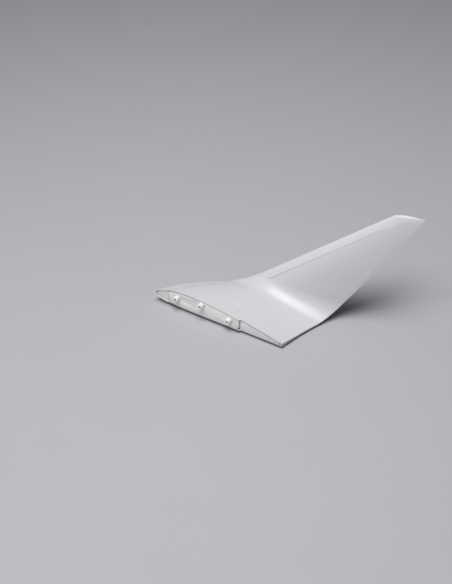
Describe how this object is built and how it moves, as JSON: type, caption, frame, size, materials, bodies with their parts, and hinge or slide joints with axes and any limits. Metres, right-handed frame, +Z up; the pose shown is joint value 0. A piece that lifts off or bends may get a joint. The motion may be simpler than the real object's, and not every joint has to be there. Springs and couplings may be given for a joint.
{
  "type": "aircraft winglet",
  "caption": "Blended winglet: flat-bottomed root part with hollow locating pegs, bending up into a swept, canted fin with a rounded tip.",
  "frame": {"origin": "on the middle peg's axis, in the plane of the root face", "axes": "+X aft along the root chord, +Y outboard from the root, +Z up from the flat underside"},
  "size_m": [0.2278, 0.1167, 0.1101],
  "materials": {
    "skin": "gloss white moulded skin",
    "edge": "gloss white moulded strip",
    "lens": "milky clear lens",
    "rib": "matt off-white plate",
    "peg": "satin bright white",
    "core": "plain, not seen"
  },
  "bodies": {
    "root": {"upper_skin": "skin", "lower_skin": "skin", "leading_edge_root": "edge", "leading_edge_fin": "edge", "light_lens": "lens", "root_rib": "rib", "peg_block": "core", "nose_rib": "rib", "rear_rib": "rib", "front_peg": "peg", "middle_peg": "peg", "rear_peg": "peg", "shear_web": "core"}
  },
  "joints": []
}
